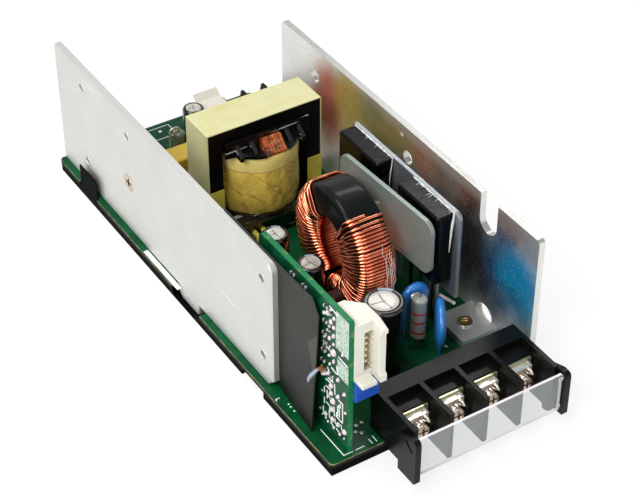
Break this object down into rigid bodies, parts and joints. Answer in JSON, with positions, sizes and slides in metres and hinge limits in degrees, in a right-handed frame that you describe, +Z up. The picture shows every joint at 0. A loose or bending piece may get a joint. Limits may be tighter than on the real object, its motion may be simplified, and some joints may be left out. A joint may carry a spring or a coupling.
{
  "type": "switching power supply",
  "caption": "Open switching power supply: a circuit board between aluminium side plates, with a taped transformer, a copper-wound choke and covered screw terminals.",
  "frame": {"origin": "centre of the bounding box's base, on the underside of the insulating sheet", "axes": "+Z up from the board, +Y from the front output terminals to the rear input terminals, +X towards the folded side plate"},
  "size_m": [0.0704, 0.1766, 0.0496],
  "materials": {
    "board_green": "solder-resist laminate, slightly glossy",
    "card_green": "solder-resist laminate with pale edges",
    "sheet_black": "satin insulating sheet",
    "film_grey": "satin insulating film",
    "plate_aluminium": "satin grey sheet",
    "side_aluminium": "mill-finish sheet with faint scratches",
    "sink_aluminium": "matt rolled sheet",
    "clamp_aluminium": "matt tumbled sheet",
    "nickel": "nickel-plated steel",
    "tin": "tinned wire",
    "device_black": "moulded epoxy",
    "pad_grey": "soft heat pad",
    "sleeve_black": "soft black cap",
    "chip_grey": "small moulded chips",
    "lead_blue": "sleeved lead",
    "header_ivory": "moulded nylon",
    "trimmer_blue": "moulded plastic",
    "rotor_brass": "slotted brass",
    "ferrite": "lacquered ferrite",
    "tape_yellow": "glossy polyester tape",
    "coil_tape": "glossy tape over a winding",
    "bobbin_black": "glossy phenolic",
    "copper": "enamelled copper",
    "sleeve_maroon": "shrunk sleeve",
    "can_black": "shrunk sleeve on an aluminium can",
    "resistor_grey": "lacquered body with colour rings",
    "resistor_dark": "lacquered body",
    "disc_blue": "dipped epoxy",
    "disc_pale": "dipped epoxy",
    "terminal_black": "moulded terminal block",
    "cover_clear": "frosted clear plastic",
    "guard_pale": "frosted plastic",
    "box_yellow": "boxed capacitor",
    "fuse_white": "ceramic tube fuse"
  },
  "bodies": {
    "supply": {"main_board": "board_green", "insulating_sheet": "sheet_black", "left_heat_plate": "plate_aluminium", "countersunk_screw": "nickel", "device_nut": "nickel", "insulating_pad": "pad_grey", "primary_transistor": "device_black", "right_side_plate": "side_aluminium", "tab_inserts": "nickel", "tab_screws": "nickel", "insulating_film": "film_grey", "control_board": "card_green", "control_chips": "chip_grey", "sense_lead": "lead_blue", "header_housing": "header_ivory", "header_pins": "tin", "trimmer_body": "trimmer_blue", "transformer_core_upper": "ferrite", "transformer_core_lower": "ferrite", "core_tape": "tape_yellow", "leg_tapes": "coil_tape", "transformer_bobbin": "bobbin_black", "transformer_coil": "coil_tape", "winding_exit": "copper", "coil_leads": "sleeve_maroon", "choke_core": "ferrite", "choke_winding_rear": "copper", "choke_winding_front": "copper", "choke_lead_sleeve": "sleeve_maroon", "heat_sink_plate": "sink_aluminium", "device_sleeve_front": "sleeve_black", "device_sleeve_rear": "sleeve_black", "power_device_front": "device_black", "power_device_rear": "device_black", "clamp_plate": "clamp_aluminium", "clamp_screw": "nickel", "output_capacitor_rear": "can_black", "output_capacitor_middle": "can_black", "output_capacitor_front": "can_black", "input_capacitor": "can_black", "front_resistor": "resistor_grey", "front_resistor_leads": "tin", "rear_resistor": "resistor_dark", "rear_resistor_leads": "tin", "disc_capacitor_left": "disc_blue", "disc_capacitor_right": "disc_blue", "rear_disc_capacitor": "disc_pale", "terminal_housing": "terminal_black", "terminal_straps": "nickel", "terminal_saddles": "nickel", "terminal_screws": "nickel", "input_housing": "terminal_black", "input_straps": "nickel", "input_screws": "nickel", "input_guard": "guard_pale", "film_capacitor": "box_yellow", "input_fuse": "fuse_white", "filter_choke": "copper"},
    "cover": {"terminal_cover": "cover_clear"},
    "rotor": {"trimmer_rotor": "rotor_brass"}
  },
  "joints": [
    {"name": "cover_hinge", "type": "hinge", "parent": "supply", "child": "cover", "pos_m": [0.0044, -0.0866, 0.0164], "axis": [-1, 0, 0], "range_deg": [0, 100]},
    {"name": "trimmer_turn", "type": "hinge", "parent": "supply", "child": "rotor", "pos_m": [-0.0205, -0.06765, 0.0257], "axis": [1, 0, 0], "range_deg": [-120, 120]}
  ]
}
